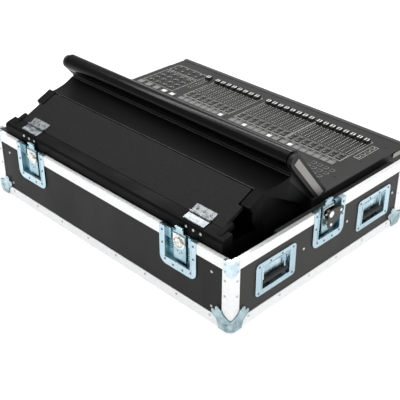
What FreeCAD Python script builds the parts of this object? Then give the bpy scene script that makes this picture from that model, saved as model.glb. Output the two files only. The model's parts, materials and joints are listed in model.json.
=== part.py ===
"""Lighting control desk standing in an open flight-case base.

Frame: +X to the operator's right, +Y from the operator towards the rear, +Z up.
The origin is the centre of the base's underside.  All sizes are in millimetres.
"""
import FreeCAD
import Part
import math
import os

V = FreeCAD.Vector

# ---- driving dimensions: case ------------------------------------------------
HALF_LEN = 490.0        # outside of the aluminium, along X
HALF_DEP = 360.0        # outside of the aluminium, along Y
RIM_TOP = 209.0         # top of the rim extrusion on the back and the ends
FRONT_TOP = 152.0       # top of the lowered front wall
METAL = 2.0             # aluminium thickness
EDGE = 30.0             # leg of the angle along the bottom and up the corners
RIM_H = 29.0            # outer flange of the rim extrusion
RIM_W = 12.0            # width of the rim extrusion over the wall
WALL = 8.0              # laminated plywood
BASE_T = 10.0           # base panel
GAP = 0.5               # assembly gap between panels and metalwork
OUT_X = HALF_LEN - METAL
OUT_Y = HALF_DEP - METAL
IN_X = OUT_X - WALL
IN_Y = OUT_Y - WALL

# ---- driving dimensions: fittings --------------------------------------------
LATCH_X = 308.0         # back and front latches, either side of the middle
END_LATCH_Y = -10.0     # latch in each end wall
LATCH_W = 130.0
LATCH_LOW = 98.0        # lower edge of a dish on the back and end walls
LATCH_OPEN = 90.0       # width of the recess
HANDLE_Y = (198.0, -214.0)
HANDLE_Z = 111.0
HANDLE_W = 150.0
HANDLE_H = 97.0
HANDLE_OPEN = (104.0, 64.0)
TRAY_DEEP = 12.0
PLATE = 1.5             # pressed steel
LOBES = ((56.0, 43.0), (43.0, 56.0))     # rivets of a ball corner's arm, from the corner

# ---- driving dimensions: desk ------------------------------------------------
DESK_HALF = 450.0
PANEL_Z = 222.5         # top of the control panel
PANEL_T = 3.0
SKIN = 2.5              # sheet metal of the desk
DESK_LOW = 62.0
DESK_FRONT = -416.0
ROLL_BACK = -396.5
REAR_HALF = 405.0       # narrower rear housing
REAR_Y = 172.0

FADER_PITCH = 24.6
FADER_BANKS = (-366.0, -164.0, 58.0)     # first fader of each bank of eight
MASTER_X = 273.0
FADER_Y = -338.0        # caps rest at the operator's end of the slots
FADER_TRAVEL = 88.0

SLOPE = math.radians(51.0)               # bridge slab, from the horizontal
SLAB = 39.0
TUBE_Y = 95.0
TUBE_Z = 362.0
TUBE_R = 24.0
CHEEK_IN = 438.0
CHEEK_OUT = 453.0
COWL_HALF = 437.5       # at the lip
COWL_REAR_HALF = 421.0  # beside the lid
COWL_REAR_Y = 186.0
COWL_REAR_Z = 299.5

# ---- driving dimensions: cable compartment -----------------------------------
HINGE_Y = 309.7         # rear edge of the lid, on its top surface
HINGE_Z = 248.9
LID_SLOPE = 24.0        # degrees, rising towards the operator
RAIL_SLOPE = 12.5       # degrees, top of the rail behind the lid
LID_LONG = 128.6        # along the slope
LID_T = 10.0
LID_HALF = 396.0        # front part, between the blocks
LID_TAB = 411.0         # rear part, behind the blocks
LID_STEP = 74.0         # where the lid widens, from its hinge edge
BLOCK_IN = 400.5
BLOCK_OUT = 432.0
RAIL_HALF = 445.0
HINGE_X = 338.0
LEAF_W = 71.0
LEAF_L = 27.0
PIN_R = 1.6
BARREL_R = 3.4
LEAF_T = 2.0


# ---- helpers ------------------------------------------------------------------
def box(x0, x1, y0, y1, z0, z1):
    return Part.makeBox(x1 - x0, y1 - y0, z1 - z0, V(x0, y0, z0))


def centred(x, w, y0, y1, z0, z1):
    return box(x - w / 2, x + w / 2, y0, y1, z0, z1)


def fuse(shapes):
    result = shapes[0]
    if len(shapes) > 1:
        result = shapes[0].fuse(shapes[1:])
    return result.removeSplitter()


def group(shapes):
    return Part.makeCompound(shapes)


def mirrored(shape, axis):
    return shape.mirror(V(0, 0, 0), axis)


def both_ends(shape):
    return [shape, mirrored(shape, V(1, 0, 0))]


def four_corners(shape):
    pair = both_ends(shape)
    return pair + [mirrored(s, V(0, 1, 0)) for s in pair]


def face_of(points):
    return Part.Face(Part.makePolygon(points + [points[0]]))


def prism_x(outline, x0, x1):
    """Extrude a (y, z) outline along X."""
    face = face_of([V(x0, y, z) for y, z in outline])
    return face.extrude(V(x1 - x0, 0, 0))


def prism_z(outline, z0, z1):
    """Extrude an (x, y) outline along Z."""
    face = face_of([V(x, y, z0) for x, y in outline])
    return face.extrude(V(0, 0, z1 - z0))


def cylinder(base, axis, radius, length):
    return Part.makeCylinder(radius, length, V(*base), V(*axis))


def round_edges(shape, axis, radius, keep=lambda p: True):
    """Fillet the straight edges that run along an axis and pass the test."""
    chosen = []
    for edge in shape.Edges:
        if edge.Curve.TypeId != "Part::GeomLine":
            continue
        start = edge.Vertexes[0].Point
        end = edge.Vertexes[-1].Point
        along = end.sub(start).normalize()
        if abs(abs(along.dot(axis)) - 1) < 1e-4 and keep(edge.CenterOfMass):
            chosen.append(edge)
    return shape.makeFillet(radius, chosen)


def arc_points(cy, cz, radius, start, end, steps):
    """Points on a round stretch of a (y, z) outline, angles in degrees."""
    points = []
    for i in range(steps + 1):
        a = math.radians(start + (end - start) * i / steps)
        points.append((cy + radius * math.cos(a), cz + radius * math.sin(a)))
    return points


def onto_wall(shape, wall, along):
    """Move a fitting made on the back wall at x = 0 to its own wall."""
    angle = {"back": 0, "left": 90, "front": 180, "right": 270}[wall]
    placed = shape.copy()
    if wall in ("left", "right"):
        placed.translate(V(0, HALF_LEN - HALF_DEP, 0))
    placed.rotate(V(0, 0, 0), V(0, 0, 1), angle)
    shift = {"back": V(along, 0, 0), "front": V(along, 0, 0), "left": V(0, along, 0), "right": V(0, along, 0)}
    placed.translate(shift[wall])
    return placed


def rivet(point, axis, radius=4.0, height=1.4):
    return Part.makeCone(radius, radius * 0.6, height, V(*point), V(*axis))


LATCHES = [("back", -LATCH_X, 0.0), ("back", LATCH_X, 0.0), ("front", -LATCH_X, FRONT_TOP - RIM_TOP),
           ("front", LATCH_X, FRONT_TOP - RIM_TOP), ("left", END_LATCH_Y, 0.0), ("right", END_LATCH_Y, 0.0)]
HANDLES = [("left", HANDLE_Y[0]), ("left", HANDLE_Y[1]), ("right", HANDLE_Y[0]), ("right", HANDLE_Y[1])]


def latch_holes(wide, low, high):
    holes = []
    for wall, along, drop in LATCHES:
        hole = centred(0, wide, HALF_DEP - 30, HALF_DEP + 10, low, high)
        hole.translate(V(0, 0, drop))
        holes.append(onto_wall(hole, wall, along))
    return holes


def handle_holes():
    wide = HANDLE_OPEN[0] + 4
    high = HANDLE_OPEN[1] / 2 + 2
    hole = centred(0, wide, HALF_DEP - 30, HALF_DEP + 10, HANDLE_Z - high, HANDLE_Z + high)
    return [onto_wall(hole, wall, along) for wall, along in HANDLES]


# ---- flight case ----------------------------------------------------------------
def base_panel():
    plate = box(-OUT_X, OUT_X, -OUT_Y, OUT_Y, METAL, BASE_T)
    step = EDGE + 0.5
    foot = box(-HALF_LEN + step, HALF_LEN - step, -HALF_DEP + step, HALF_DEP - step, 0, METAL)
    return fuse([plate, foot])


def back_wall():
    wall = box(-OUT_X, OUT_X, IN_Y, OUT_Y, BASE_T, RIM_TOP - METAL - GAP)
    return wall.cut(latch_holes(LATCH_OPEN + 4, 117, 230))


def front_wall():
    wall = box(-IN_X, IN_X, -OUT_Y, -IN_Y, BASE_T, FRONT_TOP - METAL - GAP)
    return wall.cut(latch_holes(LATCH_OPEN + 4, 117, 230))


def end_walls():
    wall = box(-OUT_X, -IN_X, -OUT_Y, IN_Y, BASE_T, RIM_TOP - METAL - GAP)
    walls = both_ends(wall)
    cutters = latch_holes(LATCH_OPEN + 4, 117, 230) + handle_holes()
    return group([w.cut(cutters) for w in walls])


def rim_extrusion():
    """Channel over the back and end walls, and a lower one over the front wall."""
    low = RIM_TOP - RIM_H
    top = RIM_TOP - METAL
    outer = box(-HALF_LEN, HALF_LEN, -HALF_DEP, HALF_DEP, low, RIM_TOP)
    under = box(-OUT_X, OUT_X, -OUT_Y, OUT_Y, low - 1, top)
    hole = box(-HALF_LEN + RIM_W, HALF_LEN - RIM_W, -HALF_DEP - 1, HALF_DEP - RIM_W, low - 1, RIM_TOP + 1)
    inner = box(-IN_X, IN_X, -HALF_DEP, IN_Y, low + 8, RIM_TOP)
    lip_hole = box(-HALF_LEN + RIM_W, HALF_LEN - RIM_W, -HALF_DEP - 1, HALF_DEP - RIM_W, low, RIM_TOP + 1)
    run = fuse([outer.cut([under, hole]), inner.cut(lip_hole)])
    f_low = FRONT_TOP - RIM_H
    f_in = HALF_LEN - RIM_W + 0.3
    cap = box(-f_in + 2, f_in - 2, -HALF_DEP, -HALF_DEP + RIM_W, f_low, FRONT_TOP)
    slot = box(-f_in, f_in, -OUT_Y, -IN_Y, f_low - 1, FRONT_TOP - METAL)
    lip = box(-f_in, f_in, -IN_Y, -IN_Y + 20, f_low - 1, f_low + 8)
    front = cap.cut([slot, lip])
    notches = latch_holes(LATCH_OPEN + 3.4, 150, 240)
    return group([run.cut(notches), front.cut(notches)])


def cut_out_curve(gap):
    """Quarter of the curved cut-out round an edge, as (distance, height) from the corner."""
    points = []
    for i in range(7):
        t = math.radians(13 * i)
        points.append(((31.0 - gap) * math.sin(t), 62.0 - (23.5 - gap) * math.cos(t)))
    return points


def wall_prism(outline, y0, y1):
    """Extrude an outline given as (distance from the rear left corner, height) through the back wall."""
    return face_of([V(-HALF_LEN + a, y0, z) for a, z in outline]).extrude(V(0, y1 - y0, 0))


def turned_corner(shape):
    """The same corner piece on the end wall's side."""
    return shape.mirror(V(-HALF_LEN, HALF_DEP, 0), V(1, 1, 0))


def edge_angles():
    """Angle along the four bottom edges and up the four corners, with tongue-shaped ends."""
    tongue = cut_out_curve(1.2)
    past = 80.0
    below = wall_prism([(-5, -5), (past, -5), (past, tongue[-1][1])] + tongue[::-1] + [(-5, tongue[0][1])],
                       OUT_Y - 1, HALF_DEP + 1)
    beside = wall_prism([(-5, -5)] + [(tongue[0][1], -5)] + [(z, a) for a, z in tongue]
                        + [(tongue[-1][1], past), (-5, past)], OUT_Y - 1, HALF_DEP + 1)
    upright_ends = [below, turned_corner(below)]
    bottom_ends = four_corners(beside) + four_corners(turned_corner(beside))

    foot = 63.0
    leg_x = box(-HALF_LEN, HALF_LEN, OUT_Y, HALF_DEP, 0, EDGE)
    foot_x = box(-HALF_LEN + foot, HALF_LEN - foot, HALF_DEP - EDGE, HALF_DEP, 0, METAL)
    leg_y = box(-HALF_LEN, -OUT_X, -HALF_DEP, HALF_DEP, 0, EDGE)
    foot_y = box(-HALF_LEN, -HALF_LEN + EDGE, -HALF_DEP + foot, HALF_DEP - foot, 0, METAL)
    along_x = fuse([leg_x, foot_x])
    along_y = fuse([leg_y, foot_y])
    bottom = [along_x, mirrored(along_x, V(0, 1, 0))] + both_ends(along_y)
    bottom = [p.cut(bottom_ends) for p in bottom]

    skin = box(-HALF_LEN, -HALF_LEN + EDGE, HALF_DEP - EDGE, HALF_DEP, 10, RIM_TOP - RIM_H - GAP)
    rear = skin.cut(box(-OUT_X, 0, 0, OUT_Y, 0, RIM_TOP)).cut(upright_ends)
    front = mirrored(rear, V(0, 1, 0))
    above = box(-HALF_LEN + 12, -HALF_LEN + EDGE + 1, -HALF_DEP - 1, -OUT_Y, FRONT_TOP - RIM_H - GAP, RIM_TOP)
    return group(bottom + both_ends(rear) + both_ends(front.cut(above)))


def ball_corner():
    """Rounded corner at the rear left, with a two-lobed arm on each wall."""
    proud = 3.0
    curve = cut_out_curve(0.0)
    outline = [(-proud, 0), (curve[0][1], 0)] + [(z, a) for a, z in curve[1:]]
    outline += [(60, 38), (50, 50), (38, 60)] + curve[::-1] + [(-proud, curve[0][1])]
    y0 = OUT_Y + 0.05
    y1 = HALF_DEP + proud
    lobes = [cylinder((-HALF_LEN + a, y0, z), (0, 1, 0), 7.0, y1 - y0) for a, z in LOBES]
    plate = fuse([wall_prism(outline, y0, y1)] + lobes)
    foot = box(-HALF_LEN - proud, -HALF_LEN + EDGE, HALF_DEP - EDGE, y1, 0, METAL - 0.05)
    solid = fuse([plate, turned_corner(plate), foot])
    ball = Part.makeSphere(70.5, V(-HALF_LEN - proud + 45, y1 - 45, 45))
    solid = solid.common(ball)
    pocket = Part.makeSphere(7.0, V(-HALF_LEN + 12, y1 + 3.4, 26))
    return solid.cut([pocket, turned_corner(pocket)])


def corner_brace():
    """Pressed plate round the rear left top corner, over the rim, with a tongue below."""
    proud = PLATE
    wide = 27.0
    low = 168.0
    x0 = -HALF_LEN - proud
    y1 = HALF_DEP + proud
    skin = box(x0, -HALF_LEN + wide, HALF_DEP - wide, y1, low, RIM_TOP + proud)
    core = box(-HALF_LEN, 200, -200, HALF_DEP, 0, RIM_TOP)
    inner = box(-HALF_LEN + RIM_W, 200, -200, HALF_DEP - RIM_W, 0, 400)
    tongue = wall_prism([(7, low - 1), (14, low + 1.2), (20, low + 3.6), (24, low + 6.6), (wide + 1, low + 11),
                         (wide + 1, low - 1)], HALF_DEP, y1 + 1)
    return skin.cut([core, inner, tongue, turned_corner(tongue)])


def corner_fittings():
    return group(four_corners(ball_corner()) + both_ends(corner_brace()))


def case_rivets():
    rivets = []
    for i in range(8):
        x = -420.0 + 120.0 * i
        rivets.append(rivet((x, HALF_DEP, 20), (0, 1, 0)))
        rivets.append(rivet((x, -HALF_DEP, 20), (0, -1, 0)))
    for i in range(6):
        y = -295.0 + 118.0 * i
        rivets += both_ends(rivet((-HALF_LEN, y, 21), (-1, 0, 0)))
    for z in (104.0, 150.0):
        rivets += both_ends(rivet((-HALF_LEN + 21, HALF_DEP, z), (0, 1, 0)))
        rivets += both_ends(rivet((-HALF_LEN, HALF_DEP - 21, z), (-1, 0, 0)))
        rivets += both_ends(rivet((-HALF_LEN, -HALF_DEP + 21, z), (-1, 0, 0)))
    for z in (199.0, 178.5):
        rivets += both_ends(rivet((-HALF_LEN + 20, HALF_DEP + PLATE, z), (0, 1, 0), 3.2))
        rivets += both_ends(rivet((-HALF_LEN - PLATE, HALF_DEP - 20, z), (-1, 0, 0), 3.2))
    for a, z in LOBES:
        rivets += four_corners(rivet((-HALF_LEN + a, HALF_DEP + 3, z), (0, 1, 0), 2.6))
        rivets += four_corners(rivet((-HALF_LEN - 3, HALF_DEP - a, z), (-1, 0, 0), 2.6))
    for z in (153.0, 49.0):
        for x in (-423.0, 423.0):
            rivets.append(rivet((x, OUT_Y, z), (0, 1, 0)))
    for y in (87.0, -96.0, -308.0):
        rivets += both_ends(rivet((-OUT_X, y, 118), (-1, 0, 0)))
    return group(rivets)


# ---- latches and handles ---------------------------------------------------------
def latch_dish():
    """Dish with its fixed hook plate, on the back wall at x = 0."""
    face = HALF_DEP + PLATE
    top = RIM_TOP + PLATE
    plate = centred(0, LATCH_W, HALF_DEP, face, LATCH_LOW, top)
    plate = round_edges(plate, V(0, 1, 0), 22.0, lambda p: p.z < LATCH_LOW + 1)
    backing = centred(0, LATCH_W - 6, OUT_Y, HALF_DEP, LATCH_LOW + 3, RIM_TOP - RIM_H - GAP)
    backing = round_edges(backing, V(0, 1, 0), 20.0, lambda p: p.z < LATCH_LOW + 4)
    half = LATCH_OPEN / 2
    floor = HALF_DEP - TRAY_DEEP - PLATE
    opening = centred(0, LATCH_OPEN, floor + PLATE, face + 1, 121, top + 1)
    flange = centred(0, LATCH_W, HALF_DEP - RIM_W, face, RIM_TOP, top)
    tray = centred(0, LATCH_OPEN + 3, floor, HALF_DEP, 119.5, RIM_TOP - METAL)
    frame = fuse([plate, backing, flange, tray])
    above = centred(0, LATCH_OPEN, floor - 20, face + 1, RIM_TOP - METAL - 0.01, top + 1)
    frame = frame.cut([opening, above])
    guides = []
    for x0, x1 in ((-half - 0.5, -half + 14), (half - 14, half + 0.5)):
        guides.append(box(x0, x1, floor + 1, floor + 7, 178, RIM_TOP - METAL))
    hook = centred(0, 43, floor + PLATE + 3, floor + PLATE + 5.5, 126, 208)
    feet = [centred(0, 30, floor + 1, floor + PLATE + 3.2, z, z + 8) for z in (130, 196)]
    neck = centred(0, 26, floor + PLATE + 3, floor + PLATE + 5.5, 205, 224)
    curl = centred(0, 26, floor + PLATE + 3, floor + PLATE + 9, 221, 225)
    return fuse([frame] + guides + [hook, neck, curl] + feet)


def latch_dishes():
    dishes = []
    for wall, along, drop in LATCHES:
        dish = latch_dish()
        dish.translate(V(0, 0, drop))
        dishes.append(onto_wall(dish, wall, along))
    return group(dishes)


def latch_wing(number):
    """Turning wing of one latch; the end walls' wings carry a two-lobed plate."""
    wall, along, drop = LATCHES[number]
    pivot_z = 183.0
    seat = HALF_DEP - TRAY_DEEP + 5.8
    boss = cylinder((0, seat, pivot_z), (0, 1, 0), 11.0, 6.0)
    disc = cylinder((0, seat, pivot_z), (0, 1, 0), 21.0, 2.0)
    crown = centred(0, 42, seat, seat + 2, pivot_z, pivot_z + 19)
    fin = centred(0, 34, seat + 1, seat + 6.5, pivot_z - 1.5, pivot_z + 1.5)
    pieces = [boss, disc, crown, fin]
    if wall in ("left", "right"):
        out = HALF_DEP + PLATE + 1.0
        centres = [(0.0, 0.0), (-42.0, -4.0), (-2.0, -33.0)]
        pieces.append(cylinder((0, seat, pivot_z), (0, 1, 0), 9.0, out + 5.5 - seat))
        pieces += [cylinder((x, out, pivot_z + z), (0, 1, 0), 12.5, 3.0) for x, z in centres]
        for i in range(3):
            pieces.append(strap(centres[i], centres[(i + 1) % 3], 12.5, out, out + 3.0, pivot_z))
    wing = fuse(pieces)
    wing.translate(V(0, 0, drop))
    return onto_wall(wing, wall, along)


def strap(a, b, radius, y0, y1, z_mid):
    """Flat bar between two round ends, both centres given as (x, z)."""
    dx = b[0] - a[0]
    dz = b[1] - a[1]
    size = math.hypot(dx, dz)
    nx = -dz / size * radius
    nz = dx / size * radius
    corners = [(a[0] + nx, a[1] + nz), (b[0] + nx, b[1] + nz), (b[0] - nx, b[1] - nz), (a[0] - nx, a[1] - nz)]
    return face_of([V(x, y0, z + z_mid) for x, z in corners]).extrude(V(0, y1 - y0, 0))


def handle_dish():
    face = HALF_DEP + PLATE
    floor = HALF_DEP - TRAY_DEEP - 4.0
    open_w, open_h = HANDLE_OPEN
    z0 = HANDLE_Z - HANDLE_H / 2
    z1 = HANDLE_Z + HANDLE_H / 2
    plate = centred(0, HANDLE_W, OUT_Y, face, z0, z1)
    plate = round_edges(plate, V(0, 1, 0), 12.0)
    low = HANDLE_Z - open_h / 2
    high = HANDLE_Z + open_h / 2
    tray = centred(0, open_w + 3, floor, OUT_Y + 1, low - 1.5, high + 1.5)
    space = centred(0, open_w, floor + 1.5, face + 1, low, high)
    dish = fuse([plate, tray]).cut(space)
    ears = []
    for side in (-1, 1):
        x = side * (open_w / 2 - 3)
        ears.append(centred(x, 8, floor + 1, floor + 13, high - 16, high + 0.5))
    bore = cylinder((-open_w, floor + 7, high - 8), (1, 0, 0), 2.6, 2 * open_w)
    return fuse([dish] + ears).cut(bore)


def handle_dishes():
    return group([onto_wall(handle_dish(), wall, along) for wall, along in HANDLES])


def handle(number):
    """Sprung drop handle: two arms on a cross pin, with a round grip."""
    wall, along = HANDLES[number]
    axis_y = HALF_DEP - TRAY_DEEP - 4.0 + 7.0
    axis_z = HANDLE_Z + HANDLE_OPEN[1] / 2 - 8
    grip_z = HANDLE_Z - HANDLE_OPEN[1] / 2 + 13
    half = HANDLE_OPEN[0] / 2
    pin = cylinder((-half + 0.3, axis_y, axis_z), (1, 0, 0), 2.55, 2 * half - 0.6)
    arms = []
    for side in (-1, 1):
        x = side * (half - 11.0)
        arms.append(centred(x, 5, axis_y - 4, axis_y + 4, grip_z, axis_z))
        arms.append(cylinder((x - 2.5, axis_y, axis_z), (1, 0, 0), 4.0, 5))
    grip = cylinder((-half + 5, axis_y + 1.5, grip_z), (1, 0, 0), 6.5, 2 * half - 10)
    grip = grip.makeFillet(2.5, [e for e in grip.Edges if e.Closed and len(e.Vertexes) == 1])
    return onto_wall(fuse([pin, grip] + arms), wall, along)


# ---- foam -------------------------------------------------------------------------
def foam_blocks():
    side = box(-IN_X + 7, -DESK_HALF - 3.5, -335, 168, BASE_T, 196)
    pads = [box(-430, 430, y, y + 70, BASE_T, DESK_LOW - 0.5) for y in (-330, -150, 60)]
    return group(both_ends(side) + pads)


# ---- cable compartment --------------------------------------------------------------
def on_slope(shape, slope=LID_SLOPE):
    """From flat (x, -distance from hinge, height) to the lid's slope."""
    placed = shape.copy()
    placed.rotate(V(0, 0, 0), V(1, 0, 0), -slope)
    placed.translate(V(0, HINGE_Y, HINGE_Z))
    return placed


def pin_centre():
    """(y, z) of the hinge pins."""
    angle = math.radians(LID_SLOPE)
    height = BARREL_R + 0.02
    return (HINGE_Y + height * math.sin(angle), HINGE_Z + height * math.cos(angle))


def rail_top(y):
    """Height of the rail's top, which the rail's hinge leaves lie on."""
    angle = math.radians(RAIL_SLOPE)
    pin_y, pin_z = pin_centre()
    return pin_z - (BARREL_R + 0.02) / math.cos(angle) - (y - pin_y) * math.tan(angle)


def doghouse_frame():
    """Rail along the back wall, and a side panel with a block at each end."""
    y0 = HINGE_Y + 0.5
    y1 = HALF_DEP - 14.5
    nose = arc_points(y1 - 9, rail_top(336.0) - 10.0, 9.0, 80, 0, 6)
    outline = [(y0, 196.0), (y0, rail_top(y0))] + nose + [(y1, 196.0)]
    rail = prism_x(outline, -RAIL_HALF, RAIL_HALF)
    ear = box(-LID_TAB - 16, -LID_TAB - 1.5, -26, 22, -11, 2.5)
    ear = on_slope(round_edges(ear, V(0, 0, 1), 5.0), (LID_SLOPE + RAIL_SLOPE) / 2)
    front = COWL_REAR_Y + 2.0
    side = prism_x([(178, BASE_T), (178, 205), (y0 + 1, 205), (y0 + 1, BASE_T)], -BLOCK_OUT + 2, -BLOCK_OUT + 12)
    block = box(-BLOCK_OUT, -BLOCK_IN, -LID_LONG - 7, -LID_STEP - 4, -16, 0)
    block = on_slope(round_edges(block, V(0, 0, 1), 6.0)).cut(box(-500, -300, 100, front, 200, 330))
    post = prism_x([(front, 203), (front, 291), (228, 275), (228, 240), (210, 203)], -BLOCK_OUT, -BLOCK_OUT + 14)
    left = fuse([side, block, post])
    rail = fuse([rail, ear, mirrored(ear, V(1, 0, 0))])
    return group([rail] + both_ends(left))


def doghouse_lid():
    front = box(-LID_HALF, LID_HALF, -LID_LONG, -LID_STEP, -LID_T, 0)
    rear = box(-LID_TAB, LID_TAB, -LID_STEP - 1, -0.4, -LID_T, 0)
    lid = fuse([front, rear])
    lid = round_edges(lid, V(0, 0, 1), 5.0, lambda p: p.y < -LID_LONG + 1)
    return on_slope(lid)


def leaf(x, towards, segments):
    """One leaf with its knuckles; towards is -1 for the lid and +1 for the rail."""
    y0, y1 = sorted((towards * 1.5, towards * LEAF_L))
    plate = centred(x, LEAF_W, y0, y1, 0.02, LEAF_T)
    plate = round_edges(plate, V(0, 0, 1), 3.0, lambda p: abs(p.y) > 5)
    pieces = [plate]
    step = LEAF_W / 5
    for i in segments:
        x0 = x - LEAF_W / 2 + i * step + 0.2
        pieces.append(cylinder((x0, 0, BARREL_R + 0.02), (1, 0, 0), BARREL_R, step - 0.4))
        y2, y3 = sorted((0.0, towards * 3.0))
        pieces.append(box(x0, x0 + step - 0.4, y2, y3, 0.02, LEAF_T))
    if towards < 0:
        for i in (-1, 0, 1):
            pieces.append(Part.makeCone(4.0, 2.2, 1.6, V(x + i * 23, -15, LEAF_T), V(0, 0, 1)))
    else:
        pieces.append(cylinder((x - LEAF_W / 2 + 3, LEAF_L - 1.7, 1.74), (1, 0, 0), 1.7, LEAF_W - 6))
    result = fuse(pieces)
    others = [i for i in range(5) if i not in segments]
    clear = []
    for i in others:
        x0 = x - LEAF_W / 2 + i * step - 0.2
        clear.append(box(x0, x0 + step + 0.4, -4.2, 4.2, -5, 12))
    return result.cut(clear)


def lid_hinge_leaves():
    leaves = []
    for x in (-HINGE_X, HINGE_X):
        shape = leaf(x, -1, (1, 3))
        bore = cylinder((x - LEAF_W, 0, BARREL_R + 0.02), (1, 0, 0), PIN_R + 0.06, 2 * LEAF_W)
        leaves.append(on_slope(shape.cut(bore)))
    return group(leaves)


def rail_hinge_leaves():
    leaves = []
    for x in (-HINGE_X, HINGE_X):
        shape = leaf(x, 1, (0, 2, 4))
        pin = cylinder((x - LEAF_W / 2 + 0.2, 0, BARREL_R + 0.02), (1, 0, 0), PIN_R, LEAF_W - 0.4)
        placed = on_slope(fuse([shape, pin]))
        pin_y, pin_z = pin_centre()
        placed.rotate(V(0, pin_y, pin_z), V(1, 0, 0), LID_SLOPE - RAIL_SLOPE)
        leaves.append(placed)
    return group(leaves)


# ---- desk ---------------------------------------------------------------------------
def desk_chassis():
    """Sheets between two end plates, a solid nose bar, and a narrower rear housing behind."""
    top = PANEL_Z - PANEL_T - 0.05
    nose = arc_points(-398, 186, 14.0, -90, -180, 6)
    side = [(20, DESK_LOW), (-340, DESK_LOW), (-340, 172)] + nose
    side += [(-412, 196), (-395, 196), (-395, top), (20, top)]
    ends = both_ends(prism_x(side, -DESK_HALF, -DESK_HALF + SKIN))
    half = DESK_HALF - SKIN - 0.05
    floor = box(-half, half, -340, 20, DESK_LOW, DESK_LOW + SKIN)
    back = box(-half, half, 20 - SKIN, 20, DESK_LOW + SKIN + 0.05, top)
    front = box(-half, half, -340, -340 + SKIN, DESK_LOW + SKIN + 0.05, 172)
    shelf = box(-half, half, -395, -340 + SKIN, 172.05, 172 + SKIN)
    bar = prism_x(nose + [(-412, 196), (-395.05, 196), (-395.05, 172)], -half, half)
    upstand = box(-half, half, -395, -395 + SKIN, 172 + SKIN + 0.05, top)
    face = 20.1
    rear_out = [(face, DESK_LOW), (face, 196), (96, 290), (110, 300), (134, 291), (REAR_Y, 284), (REAR_Y, DESK_LOW)]
    rear_in = [(face + SKIN, DESK_LOW + SKIN), (face + SKIN, 194), (98, 287), (110, 296), (134, 287.5),
               (REAR_Y - SKIN, 281), (REAR_Y - SKIN, DESK_LOW + SKIN)]
    rear = prism_x(rear_out, -REAR_HALF, REAR_HALF)
    rear_hollow = prism_x(rear_in, -REAR_HALF + SKIN, REAR_HALF - SKIN)
    return group(ends + [floor, back, front, shelf, bar, upstand, rear.cut(rear_hollow)])


def fader_positions():
    spots = []
    for first in FADER_BANKS:
        spots += [first + FADER_PITCH * i for i in range(8)]
    return spots + [MASTER_X]


def control_panel():
    low = PANEL_Z - PANEL_T
    plate = box(-CHEEK_OUT, CHEEK_OUT, ROLL_BACK + 2.5, 18.0, low, PANEL_Z)
    slots = []
    for x in fader_positions():
        slots.append(centred(x, 3.0, FADER_Y - 5, FADER_Y + FADER_TRAVEL + 5, low - 1, PANEL_Z + 1))
    return plate.cut(slots)


def wrist_roll():
    """Rounded bar along the desk's front edge."""
    roll = box(-CHEEK_OUT, CHEEK_OUT, DESK_FRONT, ROLL_BACK, 196.3, PANEL_Z + 2.0)
    roll = round_edges(roll, V(1, 0, 0), 8.0, lambda p: p.y < DESK_FRONT + 1 and p.z > 210)
    roll = round_edges(roll, V(1, 0, 0), 4.0, lambda p: p.z > 220 and p.y > ROLL_BACK - 1)
    return roll


def slab_point(along, across):
    """(y, z) of a point on the bridge's slab: across is 0 at the front, SLAB at the rear."""
    cos = math.cos(SLOPE)
    sin = math.sin(SLOPE)
    mid = SLAB / 2 - 1.5
    return (TUBE_Y + cos * along + sin * (across - mid), TUBE_Z + sin * along - cos * (across - mid))


def cowl_outline(lift):
    """Concave sweep from the lip to the lid's front edge, raised by lift."""
    lip_y, lip_z = 96.5, 316.0
    sweep = []
    for i in range(9):
        t = (i / 8.0) ** 1.4
        sweep.append((lip_y + (COWL_REAR_Y - lip_y) * t, COWL_REAR_Z + (lip_z - COWL_REAR_Z) * (1 - t) ** 2.6 + lift))
    return sweep


def cowl_sheet():
    """The sweep as a smooth sheet 3 mm thick."""
    edges = []
    for lift in (0.0, -3.0):
        curve = Part.BSplineCurve()
        curve.interpolate([V(-COWL_HALF, y, z) for y, z in cowl_outline(lift)])
        edges.append(curve.toShape())
    ends = [[shape.Vertexes[i].Point for shape in edges] for i in (0, -1)]
    sides = [Part.makeLine(*pair) for pair in ends]
    wire = Part.Wire(Part.__sortEdges__(edges + sides))
    return Part.Face(wire).extrude(V(2 * COWL_HALF, 0, 0))


def cowl_plan(inset):
    """Plan of the cowl, narrowing towards the lid, moved in by inset at each end."""
    front = COWL_HALF - inset
    rear = COWL_REAR_HALF - inset
    half = [(front, 0.0), (front, 100.0), (rear, COWL_REAR_Y + 2)]
    return half + [(-x, y) for x, y in reversed(half)]


def bridge_shell():
    """Sloping housing behind the controls, closed below the tube."""
    front_low = slab_point(-(TUBE_Z - PANEL_Z) / math.sin(SLOPE) + 14, 3)
    front_top = slab_point(-6, 3)
    outer = [(front_low[0], PANEL_Z + 0.4), front_low, front_top, slab_point(4, 20), slab_point(-6, 34)]
    outer += [(92.0, 322.0), (95.0, 309.5), (99.0, 303.5), (20.0, 222.9)]
    body = prism_x(outer, -CHEEK_IN + 0.4, CHEEK_IN - 0.4)
    tube = cylinder((-CHEEK_IN, TUBE_Y, TUBE_Z), (1, 0, 0), TUBE_R + 0.15, 2 * CHEEK_IN)
    inner = [slab_point(-150, 7), slab_point(-30, 7), slab_point(-30, 32), slab_point(-150, 32)]
    hollow = prism_x(inner, -CHEEK_IN + 4, CHEEK_IN - 4)
    return body.cut([tube, hollow])


def bridge_tube():
    tube = cylinder((-CHEEK_IN + 0.3, TUBE_Y, TUBE_Z), (1, 0, 0), TUBE_R, 2 * CHEEK_IN - 0.6)
    bore = cylinder((-CHEEK_IN + 4, TUBE_Y, TUBE_Z), (1, 0, 0), TUBE_R - 3, 2 * CHEEK_IN - 8)
    return tube.cut(bore)


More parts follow.
